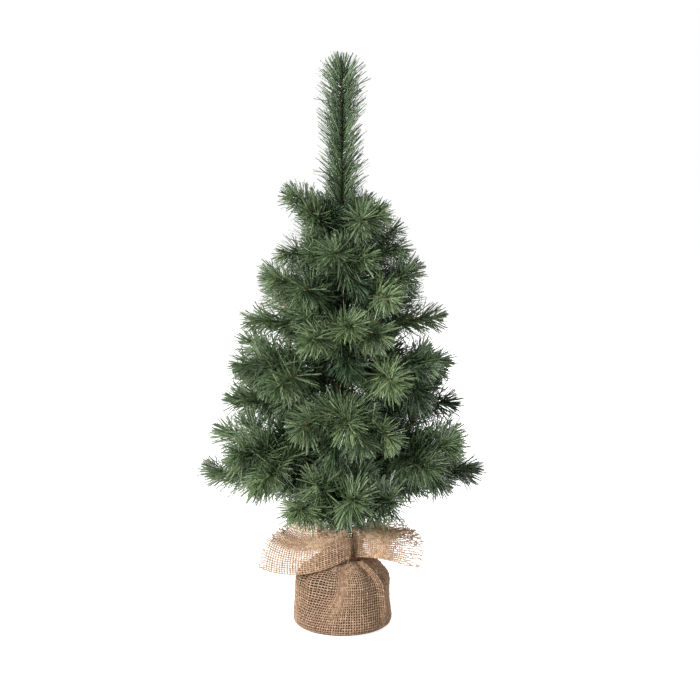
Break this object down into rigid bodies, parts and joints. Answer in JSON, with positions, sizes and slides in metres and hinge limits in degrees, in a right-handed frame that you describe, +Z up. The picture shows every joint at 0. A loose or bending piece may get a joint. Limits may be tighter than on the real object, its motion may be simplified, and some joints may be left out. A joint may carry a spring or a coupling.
{
  "type": "artificial tabletop tree",
  "caption": "Small artificial fir tree with bendable wire branches and a leader shoot, standing on a weighted base in a burlap sack tied at the neck.",
  "frame": {"origin": "middle of the flat underside of the sack, on the trunk's axis", "axes": "+Z up along the trunk, +X to the right and -Y to the front as pictured"},
  "size_m": [0.2813, 0.2952, 0.6],
  "materials": {
    "weight": "cast",
    "pot": "moulded",
    "rod": "drawn",
    "wrap": "wound tape",
    "burlap": "open weave",
    "twine": "twisted",
    "wire": "matte",
    "needles": "film"
  },
  "bodies": {
    "base": {"base_weight": "weight", "base_pot": "pot", "trunk_rod": "rod", "trunk_wrap": "wrap", "burlap_sack": "burlap", "twine_tie": "twine"},
    "leader": {"leader_wire": "wire", "leader_needles": "needles"},
    "branch_01": {"branch_wire_01": "wire", "branch_needles_01": "needles"},
    "branch_02": {"branch_wire_02": "wire", "branch_needles_02": "needles"},
    "branch_03": {"branch_wire_03": "wire", "branch_needles_03": "needles"},
    "branch_04": {"branch_wire_04": "wire", "branch_needles_04": "needles"},
    "branch_05": {"branch_wire_05": "wire", "branch_needles_05": "needles"},
    "branch_06": {"branch_wire_06": "wire", "branch_needles_06": "needles"},
    "branch_07": {"branch_wire_07": "wire", "branch_needles_07": "needles"},
    "branch_08": {"branch_wire_08": "wire", "branch_needles_08": "needles"},
    "branch_09": {"branch_wire_09": "wire", "branch_needles_09": "needles"},
    "branch_10": {"branch_wire_10": "wire", "branch_needles_10": "needles"},
    "branch_11": {"branch_wire_11": "wire", "branch_needles_11": "needles"},
    "branch_12": {"branch_wire_12": "wire", "branch_needles_12": "needles"},
    "branch_13": {"branch_wire_13": "wire", "branch_needles_13": "needles"},
    "branch_14": {"branch_wire_14": "wire", "branch_needles_14": "needles"},
    "branch_15": {"branch_wire_15": "wire", "branch_needles_15": "needles"},
    "branch_16": {"branch_wire_16": "wire", "branch_needles_16": "needles"},
    "branch_17": {"branch_wire_17": "wire", "branch_needles_17": "needles"},
    "branch_18": {"branch_wire_18": "wire", "branch_needles_18": "needles"},
    "branch_19": {"branch_wire_19": "wire", "branch_needles_19": "needles"},
    "branch_20": {"branch_wire_20": "wire", "branch_needles_20": "needles"},
    "branch_21": {"branch_wire_21": "wire", "branch_needles_21": "needles"},
    "branch_22": {"branch_wire_22": "wire", "branch_needles_22": "needles"},
    "branch_23": {"branch_wire_23": "wire", "branch_needles_23": "needles"},
    "branch_24": {"branch_wire_24": "wire", "branch_needles_24": "needles"}
  },
  "joints": [
    {"name": "leader_bend", "type": "hinge", "parent": "base", "child": "leader", "pos_m": [0, 0, 0.4255], "axis": [0, 1, 0], "range_deg": [-15, 15]},
    {"name": "branch_01_bend", "type": "hinge", "parent": "base", "child": "branch_01", "pos_m": [0, -0.0075, 0.145], "axis": [-1, 0, 0], "range_deg": [-20, 12]},
    {"name": "branch_02_bend", "type": "hinge", "parent": "base", "child": "branch_02", "pos_m": [0.00636, 0.00398, 0.145], "axis": [0.5308, -0.8475, 0], "range_deg": [-20, 12]},
    {"name": "branch_03_bend", "type": "hinge", "parent": "base", "child": "branch_03", "pos_m": [-0.00625, 0.00414, 0.145], "axis": [0.5524, 0.8336, 0], "range_deg": [-20, 12]},
    {"name": "branch_04_bend", "type": "hinge", "parent": "base", "child": "branch_04", "pos_m": [0.00674, -0.00329, 0.183], "axis": [-0.4385, -0.8988, 0], "range_deg": [-20, 12]},
    {"name": "branch_05_bend", "type": "hinge", "parent": "base", "child": "branch_05", "pos_m": [0.00043, 0.00749, 0.183], "axis": [0.9983, -0.0578, 0], "range_deg": [-20, 12]},
    {"name": "branch_06_bend", "type": "hinge", "parent": "base", "child": "branch_06", "pos_m": [-0.00638, -0.00394, 0.183], "axis": [-0.5253, 0.8509, 0], "range_deg": [-20, 12]},
    {"name": "branch_07_bend", "type": "hinge", "parent": "base", "child": "branch_07", "pos_m": [0.00005, -0.0075, 0.221], "axis": [-1, -0.0073, 0], "range_deg": [-20, 12]},
    {"name": "branch_08_bend", "type": "hinge", "parent": "base", "child": "branch_08", "pos_m": [0.00665, 0.00347, 0.221], "axis": [0.4632, -0.8863, 0], "range_deg": [-20, 12]},
    {"name": "branch_09_bend", "type": "hinge", "parent": "base", "child": "branch_09", "pos_m": [-0.00672, 0.00332, 0.221], "axis": [0.4429, 0.8966, 0], "range_deg": [-20, 12]},
    {"name": "branch_10_bend", "type": "hinge", "parent": "base", "child": "branch_10", "pos_m": [0.00622, -0.00419, 0.259], "axis": [-0.5585, -0.8295, 0], "range_deg": [-20, 12]},
    {"name": "branch_11_bend", "type": "hinge", "parent": "base", "child": "branch_11", "pos_m": [-0.0004, 0.00749, 0.259], "axis": [0.9986, 0.0535, 0], "range_deg": [-20, 12]},
    {"name": "branch_12_bend", "type": "hinge", "parent": "base", "child": "branch_12", "pos_m": [-0.00658, -0.0036, 0.259], "axis": [-0.4802, 0.8772, 0], "range_deg": [-20, 12]},
    {"name": "branch_13_bend", "type": "hinge", "parent": "base", "child": "branch_13", "pos_m": [-0.00011, -0.0075, 0.297], "axis": [-0.9999, 0.0145, 0], "range_deg": [-20, 12]},
    {"name": "branch_14_bend", "type": "hinge", "parent": "base", "child": "branch_14", "pos_m": [0.00631, 0.00405, 0.297], "axis": [0.5407, -0.8412, 0], "range_deg": [-20, 12]},
    {"name": "branch_15_bend", "type": "hinge", "parent": "base", "child": "branch_15", "pos_m": [-0.00623, 0.00418, 0.297], "axis": [0.5569, 0.8305, 0], "range_deg": [-20, 12]},
    {"name": "branch_16_bend", "type": "hinge", "parent": "base", "child": "branch_16", "pos_m": [0.00673, -0.0033, 0.335], "axis": [-0.4405, -0.8977, 0], "range_deg": [-20, 12]},
    {"name": "branch_17_bend", "type": "hinge", "parent": "base", "child": "branch_17", "pos_m": [0.00036, 0.00749, 0.335], "axis": [0.9988, -0.0485, 0], "range_deg": [-20, 12]},
    {"name": "branch_18_bend", "type": "hinge", "parent": "base", "child": "branch_18", "pos_m": [-0.00644, -0.00385, 0.335], "axis": [-0.5135, 0.8581, 0], "range_deg": [-20, 12]},
    {"name": "branch_19_bend", "type": "hinge", "parent": "base", "child": "branch_19", "pos_m": [0.00016, -0.0075, 0.373], "axis": [-0.9998, -0.0216, 0], "range_deg": [-20, 12]},
    {"name": "branch_20_bend", "type": "hinge", "parent": "base", "child": "branch_20", "pos_m": [0.00668, 0.0034, 0.373], "axis": [0.4537, -0.8912, 0], "range_deg": [-20, 12]},
    {"name": "branch_21_bend", "type": "hinge", "parent": "base", "child": "branch_21", "pos_m": [-0.00674, 0.00329, 0.373], "axis": [0.4393, 0.8983, 0], "range_deg": [-20, 12]},
    {"name": "branch_22_bend", "type": "hinge", "parent": "base", "child": "branch_22", "pos_m": [0.00624, -0.00417, 0.411], "axis": [-0.5553, -0.8316, 0], "range_deg": [-20, 12]},
    {"name": "branch_23_bend", "type": "hinge", "parent": "base", "child": "branch_23", "pos_m": [-0.00032, 0.00749, 0.411], "axis": [0.9991, 0.043, 0], "range_deg": [-20, 12]},
    {"name": "branch_24_bend", "type": "hinge", "parent": "base", "child": "branch_24", "pos_m": [-0.00653, -0.00369, 0.411], "axis": [-0.4926, 0.8702, 0], "range_deg": [-20, 12]}
  ]
}
